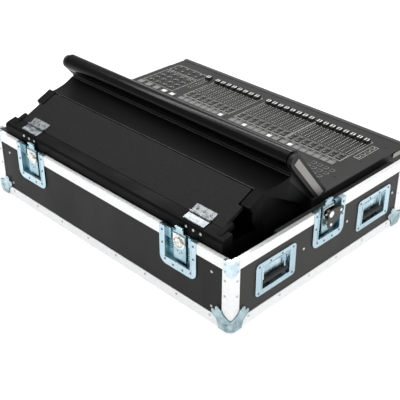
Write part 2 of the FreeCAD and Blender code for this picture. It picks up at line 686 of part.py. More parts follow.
def bridge_cheeks():
    """End plates of the bridge with rounded tops."""
    reach = (TUBE_Z - PANEL_Z) / math.sin(SLOPE)
    slab = [slab_point(-reach - 8, 0), slab_point(0, 0), slab_point(0, SLAB), slab_point(-reach - 8, SLAB)]
    plate = prism_x(slab, -CHEEK_OUT, -CHEEK_IN)
    top = slab_point(0, SLAB / 2)
    cap = cylinder((-CHEEK_OUT, top[0], top[1]), (1, 0, 0), SLAB / 2, CHEEK_OUT - CHEEK_IN)
    cheek = fuse([plate, cap]).cut(box(-CHEEK_OUT - 1, -CHEEK_IN + 1, -200, 200, 100, PANEL_Z + 0.3))
    return group(both_ends(cheek))


def cheek_trims():
    """Silver strips on the cheeks, and along the desk's ends by the roll."""
    a = slab_point(-178, 9.7)
    b = slab_point(2, 9.7)
    c = slab_point(2, 29.0)
    d = slab_point(-171, 29.0)
    strip = prism_x([a, b, c, d], -CHEEK_OUT - 1.2, -CHEEK_OUT - 0.05)
    low = box(-CHEEK_OUT - 1.2, -CHEEK_OUT - 0.05, -411, -345, 202, 216)
    return group(both_ends(strip) + both_ends(low))


def rear_cowl():
    """Concave sheet behind the bridge, with a gusset under each end."""
    sheet = cowl_sheet()
    arch = [(COWL_REAR_Y, 286.0), (160.0, 277.0), (136.0, 267.0), (108.0, 251.5), (71.0, 229.0), (25.0, 200.0)]
    edge = [(20.5, 200.0), (20.5, 224.0), (96.0, 315.0)]
    gusset = prism_x(cowl_outline(-1.0) + arch + edge, -COWL_HALF, COWL_HALF)
    outside = prism_z(cowl_plan(0.0), 190, 330)
    body = fuse([sheet.common(outside), gusset.common(outside).cut(prism_z(cowl_plan(4.0), 180, 340))])
    shell_zone = prism_x([(20.0, 222.4), (99.4, 303.7), (95.3, 309.8), (92.4, 322.2), (60, 340), (0, 240)],
                         -CHEEK_IN, CHEEK_IN)
    return body.cut(shell_zone)


def scribble_strips():
    """Lit strips in banks of eight, and five single ones at the right."""
    y0, y1 = -181.0, -160.0
    top = PANEL_Z + 1.2
    strips = []
    for first in FADER_BANKS:
        for i in range(8):
            strips.append(centred(first + FADER_PITCH * i, FADER_PITCH - 1.6, y0, y1, PANEL_Z + 0.03, top))
    for i in range(5):
        strips.append(centred(274.0 + 37.0 * i, 22.0, y0, y1, PANEL_Z + 0.03, top))
    return group(strips)


def channel_keys():
    """Low keys: two rows per channel, and a square field of master keys."""
    top = PANEL_Z + 2.4
    keys = []
    for first in FADER_BANKS:
        for i in range(8):
            for y in (-225.0, -203.0):
                keys.append(centred(first + FADER_PITCH * i, 9.0, y - 3.0, y + 3.0, PANEL_Z + 0.03, top))
    for row in range(4):
        for column in range(4):
            x = 315.0 + 32.0 * column
            y = -204.0 - 26.0 * row
            keys.append(cylinder((x, y, PANEL_Z + 0.03), (0, 0, 1), 5.5, top - PANEL_Z))
    for row in range(2):
        for column in range(4):
            x = 315.0 + 32.0 * column
            y = -318.0 - 24.0 * row
            keys.append(cylinder((x, y, PANEL_Z + 0.03), (0, 0, 1), 5.5, top - PANEL_Z))
    return group(keys)


def fader(x):
    """Cap with a concave top, on a flat stem through the slot."""
    low = PANEL_Z + 1.5
    cap = centred(x, 13.0, FADER_Y - 11, FADER_Y + 11, low, low + 9)
    cap = round_edges(cap, V(1, 0, 0), 2.0, lambda p: p.z > low + 5)
    hollow = cylinder((x - 10, FADER_Y, low + 9 + 12.5), (1, 0, 0), 14.5, 20)
    stem = centred(x, 1.6, FADER_Y - 3.5, FADER_Y + 3.5, PANEL_Z - 9, low + 1)
    return fuse([cap.cut(hollow), stem])


# ---- all nodes ----------------------------------------------------------------------
def build():
    nodes = {
        "base_panel": base_panel(),
        "back_wall": back_wall(),
        "front_wall": front_wall(),
        "end_walls": end_walls(),
        "rim_extrusion": rim_extrusion(),
        "edge_angles": edge_angles(),
        "corner_fittings": corner_fittings(),
        "case_rivets": case_rivets(),
        "latch_dishes": latch_dishes(),
        "handle_dishes": handle_dishes(),
        "foam_blocks": foam_blocks(),
        "doghouse_frame": doghouse_frame(),
        "doghouse_lid": doghouse_lid(),
        "lid_hinge_leaves": lid_hinge_leaves(),
        "rail_hinge_leaves": rail_hinge_leaves(),
        "desk_chassis": desk_chassis(),
        "control_panel": control_panel(),
        "wrist_roll": wrist_roll(),
        "bridge_shell": bridge_shell(),
        "bridge_cheeks": bridge_cheeks(),
        "bridge_tube": bridge_tube(),
        "rear_cowl": rear_cowl(),
        "cheek_trims": cheek_trims(),
        "scribble_strips": scribble_strips(),
        "channel_keys": channel_keys(),
    }
    for i in range(6):
        nodes["latch_wing_%d" % (i + 1)] = latch_wing(i)
    for i in range(4):
        nodes["handle_%d" % (i + 1)] = handle(i)
    for i, x in enumerate(fader_positions()):
        nodes["fader_%02d" % (i + 1)] = fader(x)
    return nodes


os.makedirs("parts", exist_ok=True)
for name, shape in build().items():
    shape.exportStep("parts/" + name + ".step")
    bounds = shape.BoundBox
    print(name, len(shape.Solids), shape.isValid(),
          [round(v, 1) for v in (bounds.XMin, bounds.XMax, bounds.YMin, bounds.YMax, bounds.ZMin, bounds.ZMax)])
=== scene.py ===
"""Looks of the lighting control desk in its flight-case base."""

import json
import math

import bmesh
import bpy
from mathutils import Matrix, Vector


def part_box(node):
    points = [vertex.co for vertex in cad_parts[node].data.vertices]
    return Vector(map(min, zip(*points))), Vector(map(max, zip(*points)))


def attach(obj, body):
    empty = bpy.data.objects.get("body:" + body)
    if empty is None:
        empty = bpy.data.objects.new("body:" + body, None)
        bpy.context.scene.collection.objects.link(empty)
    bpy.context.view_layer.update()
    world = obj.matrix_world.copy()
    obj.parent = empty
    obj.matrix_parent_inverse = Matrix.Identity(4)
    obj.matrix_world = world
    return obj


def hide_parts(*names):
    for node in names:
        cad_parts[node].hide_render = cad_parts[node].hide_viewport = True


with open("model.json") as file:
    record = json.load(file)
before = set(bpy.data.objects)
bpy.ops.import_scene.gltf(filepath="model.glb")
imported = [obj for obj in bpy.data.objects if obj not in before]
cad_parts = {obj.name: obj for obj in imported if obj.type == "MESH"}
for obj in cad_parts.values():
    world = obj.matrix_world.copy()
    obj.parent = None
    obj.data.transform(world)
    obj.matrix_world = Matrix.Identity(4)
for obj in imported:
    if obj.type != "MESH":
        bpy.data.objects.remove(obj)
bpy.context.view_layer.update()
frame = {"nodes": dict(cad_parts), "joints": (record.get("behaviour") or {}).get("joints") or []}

NODES = frame["nodes"]
JOINTS = {j["name"]: j for j in frame["joints"]}
CASE = "case_and_desk"
MM = 0.001              # the scripts' places are in millimetres, Blender's in metres
UP = Vector((0, 0, 1))


def corners(node):
    """Lowest and highest corner of a CAD node, in millimetres."""
    low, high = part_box(node)
    return low / MM, high / MM


TOP = corners("control_panel")[1].z     # printed face of the control panel
CASE_SIZE = dict(zip("XY", corners("rim_extrusion")[1]))    # middle to outside of the case's metalwork
FADERS = ["fader_%02d" % (i + 1) for i in range(25)]
FADER_X = [sum(corners(n)[i].x for i in (0, 1)) / 2 for n in FADERS]
FADER_Y = sum(corners(FADERS[0])[i].y for i in (0, 1)) / 2
PITCH = FADER_X[1] - FADER_X[0]
BANKS = [FADER_X[i:i + 8] for i in (0, 8, 16)]


# ---- materials ------------------------------------------------------------------
class Finish:
    """A procedural material: a principled shader with a few ways to vary it."""

    def __init__(self, name, colour, rough, metal=0.0, **sockets):
        self.mat = bpy.data.materials.new(name)
        self.mat.use_nodes = True
        self.mat.diffuse_color = (*colour, 1.0)
        self.tree = self.mat.node_tree
        self.shader = self.tree.nodes["Principled BSDF"]
        self.shader.inputs["Base Color"].default_value = (*colour, 1.0)
        self.shader.inputs["Roughness"].default_value = rough
        self.shader.inputs["Metallic"].default_value = metal
        for key, value in sockets.items():
            self.shader.inputs[key.replace("_", " ")].default_value = value
        self.place = self.tree.nodes.new("ShaderNodeTexCoord").outputs["Object"]
        self.normal = None

    def node(self, kind, **inputs):
        """Add a node; each input is a value or another node's output."""
        made = self.tree.nodes.new(kind)
        for key, value in inputs.items():
            socket = made.inputs[key.replace("_", " ")]
            if isinstance(value, bpy.types.NodeSocket):
                self.tree.links.new(value, socket)
            else:
                socket.default_value = value
        return made

    def stretched(self, scale):
        """Texture position scaled along each axis."""
        mapping = self.node("ShaderNodeMapping", Vector=self.place)
        mapping.inputs["Scale"].default_value = scale
        return mapping.outputs["Vector"]

    def noise(self, scale, detail=4.0, stretch=(1, 1, 1)):
        """Cloudy pattern from 0 to 1; the scale is per metre."""
        place = self.stretched(stretch)
        return self.node("ShaderNodeTexNoise", Vector=place, Scale=scale, Detail=detail).outputs["Fac"]

    def cells(self, scale):
        """Pebbled pattern: distance to the nearest of many scattered points."""
        place = self.stretched((1, 1, 1))
        return self.node("ShaderNodeTexVoronoi", Vector=place, Scale=scale).outputs["Distance"]

    def ramp(self, factor, stops):
        """Map a factor through (position, colour or grey) stops."""
        made = self.node("ShaderNodeValToRGB", Fac=factor)
        points = made.color_ramp.elements
        while len(points) < len(stops):
            points.new(0.5)
        for point, (where, value) in zip(points, stops):
            grey = isinstance(value, (int, float))
            point.position = where
            point.color = (value, value, value, 1.0) if grey else (*value, 1.0)
        return made.outputs["Color"]

    def mix(self, factor, first, second):
        """Blend two colours."""
        made = self.tree.nodes.new("ShaderNodeMix")
        made.data_type = "RGBA"
        for socket, value in ((made.inputs[0], factor), (made.inputs[6], first), (made.inputs[7], second)):
            if isinstance(value, bpy.types.NodeSocket):
                self.tree.links.new(value, socket)
            else:
                socket.default_value = (*value, 1.0)
        return made.outputs[2]

    def paint(self, colour):
        """Use a node's colour for the base colour."""
        self.tree.links.new(colour, self.shader.inputs["Base Color"])
        return self

    def gloss(self, factor, stops):
        """Vary the roughness through (position, roughness) stops."""
        self.tree.links.new(self.ramp(factor, stops), self.shader.inputs["Roughness"])
        return self

    def bump(self, height, depth_mm, strength=1.0):
        """Add relief on top of what is there."""
        made = self.node("ShaderNodeBump", Height=height, Strength=strength, Distance=depth_mm * MM)
        if self.normal:
            self.tree.links.new(self.normal, made.inputs["Normal"])
        self.normal = made.outputs["Normal"]
        self.tree.links.new(self.normal, self.shader.inputs["Normal"])
        return self

    def soften(self, radius_mm):
        """Rounds the look of sharp edges."""
        made = self.tree.nodes.new("ShaderNodeBevel")
        made.samples = 4
        made.inputs["Radius"].default_value = radius_mm * MM
        self.normal = made.outputs["Normal"]
        self.tree.links.new(self.normal, self.shader.inputs["Normal"])
        return self

    def math(self, operation, *values):
        """Add a math node."""
        made = self.tree.nodes.new("ShaderNodeMath")
        made.operation = operation
        for socket, value in zip(made.inputs, values):
            if isinstance(value, bpy.types.NodeSocket):
                self.tree.links.new(value, socket)
            else:
                socket.default_value = value
        return made.outputs[0]

    def above(self, axis, level_mm, soft_mm=0.2):
        """1 where the object's coordinate along an axis is over a level."""
        split = self.node("ShaderNodeSeparateXYZ", Vector=self.place)
        made = self.node("ShaderNodeMapRange", Value=split.outputs[axis])
        made.inputs["From Min"].default_value = (level_mm - soft_mm) * MM
        made.inputs["From Max"].default_value = (level_mm + soft_mm) * MM
        return made.outputs["Result"]


def laminate(name, dark, light):
    """Phenolic film on plywood: nearly black, fine pebble grain, faint smears."""
    f = Finish(name, (dark, dark, dark), 0.5, Specular_IOR_Level=0.2).soften(0.6)
    grain = f.noise(900, 2.0)
    smear = f.noise(9, 5.0, (1, 1, 0.5))
    low, high = ((grey, grey * 0.97, grey * 0.94) for grey in (dark, light))
    f.paint(f.ramp(smear, [(0.3, low), (0.7, high)]))
    f.gloss(smear, [(0.3, 0.42), (0.7, 0.58)])
    return f.bump(f.cells(620), 0.12, 0.5).bump(grain, 0.05, 0.5).mat


def aluminium():
    """Satin extrusion with faint drawing lines and small scuffs."""
    f = Finish("aluminium", (0.88, 0.885, 0.89), 0.45, 0.65).soften(0.7)
    lines = f.noise(40, 3.0, (0.4, 0.4, 30))
    scuff = f.noise(120, 6.0)
    f.paint(f.ramp(scuff, [(0.35, (0.80, 0.805, 0.81)), (0.6, (0.86, 0.865, 0.87))]))
    f.gloss(scuff, [(0.3, 0.40), (0.7, 0.50)])
    return f.bump(lines, 0.02, 0.2).mat


def zinc():
    """Bright zinc plate with a cold blue cast and cloudy patches, and painted shade that darkens it near the
    ground.
    """
    f = Finish("zinc_plate", (0.66, 0.78, 0.84), 0.24, 1.0).soften(0.5)
    cloud = f.noise(60, 5.0)
    bright = f.ramp(cloud, [(0.3, (0.47, 0.62, 0.70)), (0.55, (0.59, 0.72, 0.79)), (0.8, (0.70, 0.80, 0.84))])
    ground_shade = f.ramp(cloud, [(0.3, (0.20, 0.30, 0.33)), (0.55, (0.34, 0.45, 0.48)), (0.8, (0.56, 0.66, 0.69))])
    # Painted shade: below about 55 mm the plate takes the darker colours, standing in for the shade near the
    # ground.
    f.paint(f.mix(f.above("Z", 55.0, 35.0), ground_shade, bright))
    f.gloss(cloud, [(0.3, 0.18), (0.7, 0.34)])
    return f.bump(f.noise(260, 3.0), 0.04, 0.4).mat


def plated_dish(name, dark, light):
    """Zinc plate whose pressed recess, behind the case's faces, is painted a darker, deeper blue as shade."""
    f = Finish(name, (0.66, 0.80, 0.86), 0.26, 1.0).soften(0.6)
    cloud = f.noise(30, 4.0)
    face = f.ramp(cloud, [(0.3, (0.41, 0.55, 0.62)), (0.7, (0.52, 0.66, 0.73))])
    recess_shade = f.ramp(cloud, [(0.35, dark), (0.65, light)])
    split = f.node("ShaderNodeSeparateXYZ", Vector=f.place)
    outside = [f.math("SUBTRACT", f.math("ABSOLUTE", split.outputs[axis]), size * MM)
               for axis, size in CASE_SIZE.items()]
    level = f.node("ShaderNodeMapRange", Value=f.math("MAXIMUM", *outside))
    level.inputs["From Min"].default_value = -10.5 * MM
    level.inputs["From Max"].default_value = -4.0 * MM
    # Painted shade: inside the recess the colour goes over to the darker blue.
    f.paint(f.mix(level.outputs["Result"], recess_shade, face))
    f.gloss(cloud, [(0.3, 0.20), (0.7, 0.36)])
    return f.bump(f.noise(260, 3.0), 0.04, 0.4).mat


def chrome():
    """Bright plated wing with uneven reflections."""
    f = Finish("chrome", (0.72, 0.71, 0.67), 0.16, 1.0).soften(0.5)
    cloud = f.noise(130, 3.0)
    f.paint(f.ramp(cloud, [(0.35, (0.40, 0.41, 0.38)), (0.6, (0.86, 0.85, 0.80))]))
    f.gloss(cloud, [(0.3, 0.12), (0.7, 0.30)])
    return f.bump(f.noise(160, 2.0), 0.3, 0.8).mat


def hinge_steel(name, level):
    """Dull grey plated leaf; the level scales its colours, so a lower level gives a darker copy as painted
    shade.
    """
    f = Finish(name, (0.42, 0.44, 0.45), 0.34, 1.0).soften(0.4)
    cloud = f.noise(90, 4.0)
    dark = (0.14 * level, 0.155 * level, 0.165 * level)
    light = (0.34 * level, 0.36 * level, 0.37 * level)
    f.paint(f.ramp(cloud, [(0.35, dark), (0.65, light)]))
    f.gloss(cloud, [(0.3, 0.26), (0.7, 0.44)])
    return f.bump(f.noise(300, 3.0), 0.04, 0.5).mat


def textured_black():
    """Spattered hard coating on the lid."""
    f = Finish("textured_black", (0.005, 0.005, 0.005), 0.6, Specular_IOR_Level=0.11).soften(0.8)
    spots = f.cells(420)
    f.paint(f.ramp(f.noise(230, 4.0), [(0.4, (0.0005, 0.0005, 0.0005)), (0.62, (0.011, 0.011, 0.011))]))
    f.gloss(f.noise(230, 3.0), [(0.35, 0.40), (0.65, 0.62)])
    return f.bump(spots, 0.5, 0.9).bump(f.noise(230, 3.0), 0.5, 0.9).mat


def black_wood():
    """Black painted plywood with a faint grain along X."""
    f = Finish("black_wood", (0.001, 0.001, 0.001), 0.5, Specular_IOR_Level=0.07).soften(1.2)
    f.gloss(f.noise(25, 5.0, (0.3, 1, 1)), [(0.3, 0.38), (0.7, 0.6)])
    return f.bump(f.noise(60, 6.0, (0.15, 1, 1)), 0.15, 0.4).mat


def powder(name, grey, rough):
    """Fine powder coat."""
    f = Finish(name, (grey, grey, grey * 1.03), rough, Specular_IOR_Level=0.25).soften(0.7)
    f.gloss(f.noise(14, 4.0), [(0.3, rough - 0.06), (0.7, rough + 0.08)])
    return f.bump(f.noise(1400, 2.0), 0.04, 0.5).mat


def satin(name, grey, rough, sheen=0.25):
    """Smooth sprayed paint with a faint unevenness."""
    f = Finish(name, (grey, grey, grey * 1.04), rough, Specular_IOR_Level=sheen)
    f.gloss(f.noise(40, 3.0), [(0.3, rough - 0.02), (0.7, rough + 0.02)])
    return f.bump(f.noise(1200, 2.0), 0.01, 0.3).mat


def panel_paint():
    """Dark grey matt paint with slight smears."""
    f = Finish("panel_paint", (0.025, 0.024, 0.024), 0.46, Specular_IOR_Level=0.28).soften(0.5)
    f.paint(f.ramp(f.noise(5, 4.0), [(0.3, (0.020, 0.0195, 0.019)), (0.7, (0.025, 0.0245, 0.024))]))
    f.gloss(f.noise(11, 5.0), [(0.3, 0.40), (0.7, 0.54)])
    return f.bump(f.noise(1600, 2.0), 0.03, 0.4).mat


def brushed():
    """Silver strip, brushed along its length."""
    f = Finish("brushed_silver", (0.34, 0.33, 0.31), 0.38, 1.0)
    hair = f.noise(90, 4.0, (1, 1, 18))
    f.paint(f.ramp(hair, [(0.3, (0.23, 0.22, 0.21)), (0.7, (0.30, 0.29, 0.275))]))
    f.gloss(hair, [(0.3, 0.30), (0.7, 0.48)])
    return f.bump(hair, 0.03, 0.5).mat


def foam():
    """Open-celled black foam."""
    f = Finish("foam", (0.030, 0.030, 0.031), 0.95)
    f.paint(f.ramp(f.noise(220, 3.0), [(0.3, (0.018, 0.018, 0.019)), (0.7, (0.050, 0.050, 0.052))]))
    return f.bump(f.cells(500), 0.6, 1.0).mat


def plain(name, colour, rough, metal=0.0, grain=400, **sockets):
    """Small moulded or plated trim with a slight mottle."""
    f = Finish(name, colour, rough, metal, **sockets)
    low = tuple(c * 0.9 for c in colour)
    high = tuple(min(1.0, c * 1.1) for c in colour)
    f.paint(f.ramp(f.noise(grain, 3.0), [(0.3, low), (0.7, high)]))
    return f.bump(f.noise(grain * 3, 2.0), 0.02, 0.4).mat


# Black surfaces differ in level. The end walls' laminate is a lighter copy of the walls' laminate, painted
# light for the ends that the side light makes brighter.
LAMINATE = laminate("laminate", 0.0062, 0.0092)
LAMINATE_END_LIT = laminate("laminate_ends_painted_light", 0.028, 0.035)
ALUMINIUM = aluminium()
ZINC = zinc()
# The dark and light colours here are painted shade for the dishes' recesses.
LATCH_DISH = plated_dish("latch_dish_plate", (0.05, 0.18, 0.22), (0.29, 0.48, 0.53))
HANDLE_DISH = plated_dish("handle_dish_plate", (0.40, 0.58, 0.66), (0.78, 0.88, 0.92))
CHROME = chrome()
LEAF_STEEL = hinge_steel("hinge_steel", 1.0)
# Painted shade: the lid's leaves are a darker copy of the same steel.
LEAF_STEEL_LID_SHADED = hinge_steel("hinge_steel_lid_shaded", 0.66)
LID = textured_black()
BLACK_WOOD = black_wood()
POWDER = powder("powder_black", 0.005, 0.46)
SATIN = satin("satin_black", 0.0008, 0.42, 0.09)
TUBE = satin("tube_black", 0.001, 0.18, 0.12)
# Painted highlight: pale grey for the cowl's lit lip and rear edge.
EDGE_HIGHLIGHT = plain("painted_edge_highlight", (0.10, 0.10, 0.105), 0.35)
ROLL = satin("roll_grey", 0.045, 0.42)
PANEL = panel_paint()
SILVER = brushed()
FOAM = foam()
CAPS = plain("cap_black", (0.014, 0.014, 0.015), 0.35)
CAP_RIM = plain("cap_rim", (0.80, 0.80, 0.79), 0.4)
INK = plain("white_ink", (0.66, 0.66, 0.64), 0.6)
INK_DIM = plain("grey_ink", (0.40, 0.40, 0.39), 0.6)
STRIP = plain("strip_grey", (0.19, 0.19, 0.186), 0.3)
STRIP_EDGE = plain("strip_edge", (0.10, 0.10, 0.10), 0.35)
STRIP_LIT = plain("strip_lit", (0.85, 0.85, 0.84), 0.3)
KEY = plain("key_grey", (0.06, 0.06, 0.06), 0.45)
KEY_TOP = plain("key_top", (0.20, 0.20, 0.20), 0.4)
RUBBER = plain("grip_rubber", (0.012, 0.012, 0.013), 0.5)
SCREW = plain("black_screw", (0.02, 0.02, 0.02), 0.3, 0.6)
RIVET = plain("rivet_head", (0.50, 0.51, 0.52), 0.32, 1.0)
# Painted shade: a darker copy of the rivet metal for the rivets in the latch and handle dishes.
RIVET_DARK = plain("rivet_dark", (0.16, 0.18, 0.20), 0.4, 1.0)
CAP_HEAD = plain("bright_head", (0.86, 0.87, 0.87), 0.3, 1.0)
DARK_PLATE = plain("dark_plate", (0.018, 0.017, 0.016), 0.35, 0.2)

CAD_FINISH = {
    "base_panel": LAMINATE, "back_wall": LAMINATE, "front_wall": LAMINATE, "end_walls": LAMINATE_END_LIT,
    "rim_extrusion": ALUMINIUM, "edge_angles": ALUMINIUM, "corner_fittings": ZINC, "case_rivets": RIVET,
    "latch_dishes": LATCH_DISH, "handle_dishes": HANDLE_DISH, "foam_blocks": FOAM,
    "doghouse_frame": BLACK_WOOD, "doghouse_lid": LID,
    "lid_hinge_leaves": LEAF_STEEL_LID_SHADED, "rail_hinge_leaves": LEAF_STEEL,
    "desk_chassis": POWDER, "control_panel": PANEL, "wrist_roll": ROLL, "bridge_shell": POWDER,
    "bridge_cheeks": POWDER, "bridge_tube": TUBE, "rear_cowl": SATIN, "cheek_trims": SILVER,
    "scribble_strips": STRIP, "channel_keys": KEY,
}


def dress_cad():
    """Give every CAD node its material."""
    for name, node in NODES.items():
        finish = CAD_FINISH.get(name)
        if name.startswith("latch_wing"):
            finish = CHROME
        elif name.startswith("handle_") and name[-1].isdigit():
            finish = RUBBER
        elif name.startswith("fader_"):
            finish = CAPS
        node.data.materials.clear()
        node.data.materials.append(finish)


# ---- mesh building, in millimetres -------------------------------------------------
class Build:
    """Collects closed solids and turns them into one piece."""

    def __init__(self, place=Matrix.Identity(4)):
        self.mesh = bmesh.new()
        self.place = place

    def _point(self, x, y, z):
        """New vertex at a place in the build's own frame."""
        return self.mesh.verts.new(self.place @ Vector((x, y, z)) * MM)

    def loft(self, loops, closed=False):
        """Skin a list of loops of points; the ends are capped unless it closes on itself."""
        rings = [[self._point(*p) for p in loop] for loop in loops]
        count = len(rings[0])
        spans = len(rings) if closed else len(rings) - 1
        for i in range(spans):
            a, b = rings[i], rings[(i + 1) % len(rings)]
            for k in range(count):
                self.mesh.faces.new((a[k], a[(k + 1) % count], b[(k + 1) % count], b[k]))
        if not closed:
            self.mesh.faces.new(list(reversed(rings[0])))
            self.mesh.faces.new(rings[-1])
        return self

    def slab(self, outline, z0, z1):
        """Extrude an (x, y) outline."""
        return self.loft([[(x, y, z0) for x, y in outline], [(x, y, z1) for x, y in outline]])

    def box(self, x0, x1, y0, y1, z0, z1):
        """Block between two corners."""
        return self.slab([(x0, y0), (x1, y0), (x1, y1), (x0, y1)], z0, z1)

    def turned(self, centre, axis, profile, steps=20):
        """Turn (radius, height) points about an axis through the centre."""
        axis = Vector(axis).normalized()
        side = axis.orthogonal().normalized()
        other = axis.cross(side)
        loops = []
        for radius, height in profile:
            loop = []
            for k in range(steps):
                a = 2 * math.pi * k / steps
                offset = axis * height + (side * math.cos(a) + other * math.sin(a)) * radius
                loop.append(Vector(centre) + offset)
            loops.append(loop)
        return self.loft(loops)

    def rod(self, points, radius, sides=10):
        """Round bar through a list of points."""
        points = [Vector(p) for p in points]
        loops = []
        side = None
        for i, point in enumerate(points):
            ahead = points[min(i + 1, len(points) - 1)] - points[max(i - 1, 0)]
            ahead.normalize()
            side = ahead.orthogonal() if side is None else side - ahead * side.dot(ahead)
            side.normalize()
            other = ahead.cross(side)
            angles = [2 * math.pi * k / sides for k in range(sides)]
            loops.append([point + (side * math.cos(a) + other * math.sin(a)) * radius for a in angles])
        return self.loft(loops)

    def frame(self, x0, x1, y0, y1, z0, z1, width):
        """Rectangular outline of a given line width."""
        outer = [(x0, y0), (x1, y0), (x1, y1), (x0, y1)]
        x2, x3, y2, y3 = x0 + width, x1 - width, y0 + width, y1 - width
        inner = [(x2, y2), (x3, y2), (x3, y3), (x2, y3)]
        loops = []
        for o, i in zip(outer, inner):
            loops.append([(*o, z0), (*o, z1), (*i, z1), (*i, z0)])
        return self.loft(loops, closed=True)

    def dome(self, centre, axis, radius, height, steps=14):
        """Rivet or screw head with a rounded top."""
        profile = [(radius, -0.2)]
        for i in range(5):
            a = math.radians(18 * i)
            profile.append((radius * math.cos(a), height * math.sin(a)))
        profile.append((radius * 0.04, height))
        return self.turned(centre, axis, profile, steps)

    def finish(self, name, mat, body=CASE, slot=None, bevel=0.0, sharp=35):
        """Make the piece: its mesh, material, rounding in millimetres and body. The slot argument is not
        used.
        """
        bmesh.ops.recalc_face_normals(self.mesh, faces=self.mesh.faces)
        data = bpy.data.meshes.new(name)
        self.mesh.to_mesh(data)
        self.mesh.free()
        for polygon in data.polygons:
            polygon.use_smooth = True
        data.set_sharp_from_angle(angle=math.radians(sharp))
        piece = bpy.data.objects.new(name, data)
        bpy.context.scene.collection.objects.link(piece)
        data.materials.append(mat)
        if bevel:
            rounding = piece.modifiers.new("rounding", "BEVEL")
            rounding.width = bevel * MM
            rounding.segments = 2
            rounding.limit_method = "ANGLE"
            rounding.angle_limit = math.radians(40)
        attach(piece, body)
        return piece


# ---- places on the walls --------------------------------------------------------------
WING_DEPTH = 4.0        # latch wings' joints, in from the dish's face
PIVOT_DEPTH = 9.0       # handles' pivots, in from the dish's face
UPRIGHT = Matrix(((1, 0, 0, 0), (0, 0, 1, 0), (0, 1, 0, 0), (0, 0, 0, 1)))    # stands a flat outline up


def wall_place(joint, to_face):
    """Frame of a wall fitting: X along the wall, Y outwards from its face, Z up, in millimetres."""
    if joint["name"].startswith("wing"):
        out = Vector(joint["axis"])
    else:
        out = Vector((math.copysign(1, joint["pos_m"][0]), 0, 0))
    origin = Vector(joint["pos_m"]) / MM + out * to_face
    place = Matrix.Identity(4)
    for column, direction in enumerate((out.cross(UP), out, UP, origin)):
        for row in range(3):
            place[row][column] = direction[row]
    return place


def on_end_wall(number):
    """Whether a latch is in an end wall, where its wing carries a black plate."""
    return abs(JOINTS["wing_%d_turn" % number]["axis"][0]) > 0.5


# ---- printing on the control panel -----------------------------------------------------
INK_LOW = TOP - 0.02
INK_TOP = TOP + 0.10
LINE = 0.9                                      # width of a printed line
SCALE = (FADER_Y + 14.0, FADER_Y + 91.0)        # first and last tick beside a fader
BANK_BOX = (FADER_Y - 13.0, -193.0)             # box round a bank, along Y
KEY_BOX = (-236.0, -195.5)                      # box round a channel's keys, along Y
KEY_ROWS = (-225.0, -203.0)
MASTER_BOX = (293.0, 432.0)                     # boxes at the right, along X
MASTER_BOX_ROWS = ((-299.0, -188.0), (-356.0, -306.0))
MASTER_COLUMNS = [315.0 + 32.0 * i for i in range(4)]
MASTER_ROWS = [-204.0 - 26.0 * i for i in range(4)]
LOWER_ROWS = [-318.0, -342.0]


def scale_ticks(ink, x, y0, y1, count):
    """Ladder of ticks either side of a slot."""
    for i in range(count):
        y = y0 + (y1 - y0) * i / (count - 1)
        long = 4.4 if i % 5 == 0 else 3.0
        for side in (-1, 1):
            a, b = sorted((x + side * 2.8, x + side * (2.8 + long)))
            ink.box(a, b, y - 0.85, y + 0.85, INK_LOW, INK_TOP)


def half_round(ink, x, y, radius, start):
    """Line round half a circle, from a start angle in degrees."""
    loops = []
    for k in range(13):
        a = math.radians(start + 15 * k)
        near, far = radius - 0.55, radius + 0.55
        loops.append([(x + r * math.cos(a), y + r * math.sin(a), z)
                      for r, z in ((near, INK_LOW), (near, INK_TOP), (far, INK_TOP), (far, INK_LOW))])
    ink.loft(loops)


def panel_print():
    """Scales beside the faders, and boxes round the banks and the keys."""
    ink, dim = Build(), Build()
    for x in FADER_X:
        scale_ticks(ink, x, *SCALE, 11)
    for bank in BANKS:
        left, right = bank[0] - PITCH / 2, bank[-1] + PITCH / 2
        ink.frame(left - 1.5, right + 1.5, *BANK_BOX, INK_LOW, INK_TOP, LINE)
        for x in bank:
            dim.frame(x - 10.6, x + 10.6, *KEY_BOX, INK_LOW, INK_TOP, 0.8)
            ink.box(x - 7, x + 7, -187.0, -186.0, INK_LOW, INK_TOP)
    for rows in MASTER_BOX_ROWS:
        ink.frame(*MASTER_BOX, *rows, INK_LOW, INK_TOP, LINE)
    for y in MASTER_ROWS:
        for x in MASTER_COLUMNS:
            half_round(dim, x, y, 8.6, 200)
    dim.finish("panel_print_dim", INK_DIM, slot="cap_white")
    return ink.finish("panel_print", INK, slot="cap_white")


def half_rounds():
    """Box with four half-round marks beside the first fader."""
    ink = Build()
    x0, x1, y0, y1 = -412.0, -391.0, -332.0, -240.0
    ink.frame(x0, x1, y0, y1, INK_LOW, INK_TOP, LINE)
    for i in range(4):
        half_round(ink, x1 - 6.5, y0 + 11.5 + 23.0 * i, 7.8, 90)
    return ink.finish("half_round_marks", INK, slot="cap_white")


def bridge_foot_controls():
    """Small outlined keys and knobs at the foot of the bridge, at the left."""
    ink, keys = Build(), Build()
    for row, y in enumerate((-138.0, -114.0, -90.0)):
        for column in range(4):
            x = -395.0 + 21.0 * column + 3.0 * row
            half_round(ink, x, y, 7.4, 60)
            keys.turned((x, y, TOP), (0, 0, 1), [(4.6, -0.1), (4.6, 2.0), (3.8, 2.8), (0.2, 2.9)])
    ink.finish("foot_print", INK_DIM, slot="cap_white")
    return keys.finish("foot_keys", KEY, slot="key_dark")


def key_tops():
    """Pale legends on the keys."""
    tops = Build()
    z = corners("channel_keys")[1].z
    legend = [(3.6, -0.05), (3.6, 0.3), (3.0, 0.5), (0.2, 0.5)]
    for bank in BANKS:
        for x in bank:
            for y in KEY_ROWS:
                tops.box(x - 3.2, x + 3.2, y - 1.4, y + 1.4, z - 0.05, z + 0.35)
    for y in MASTER_ROWS + LOWER_ROWS:
        for x in MASTER_COLUMNS:
            tops.turned((x, y, z), (0, 0, 1), legend)
    return tops.finish("key_legends", KEY_TOP, slot="key_dark")


LIT = ((0, 6), (1, 1), (1, 5), (2, 0))          # bank and channel of the lit strips
LIT_MASTERS = (274.0, 311.0)


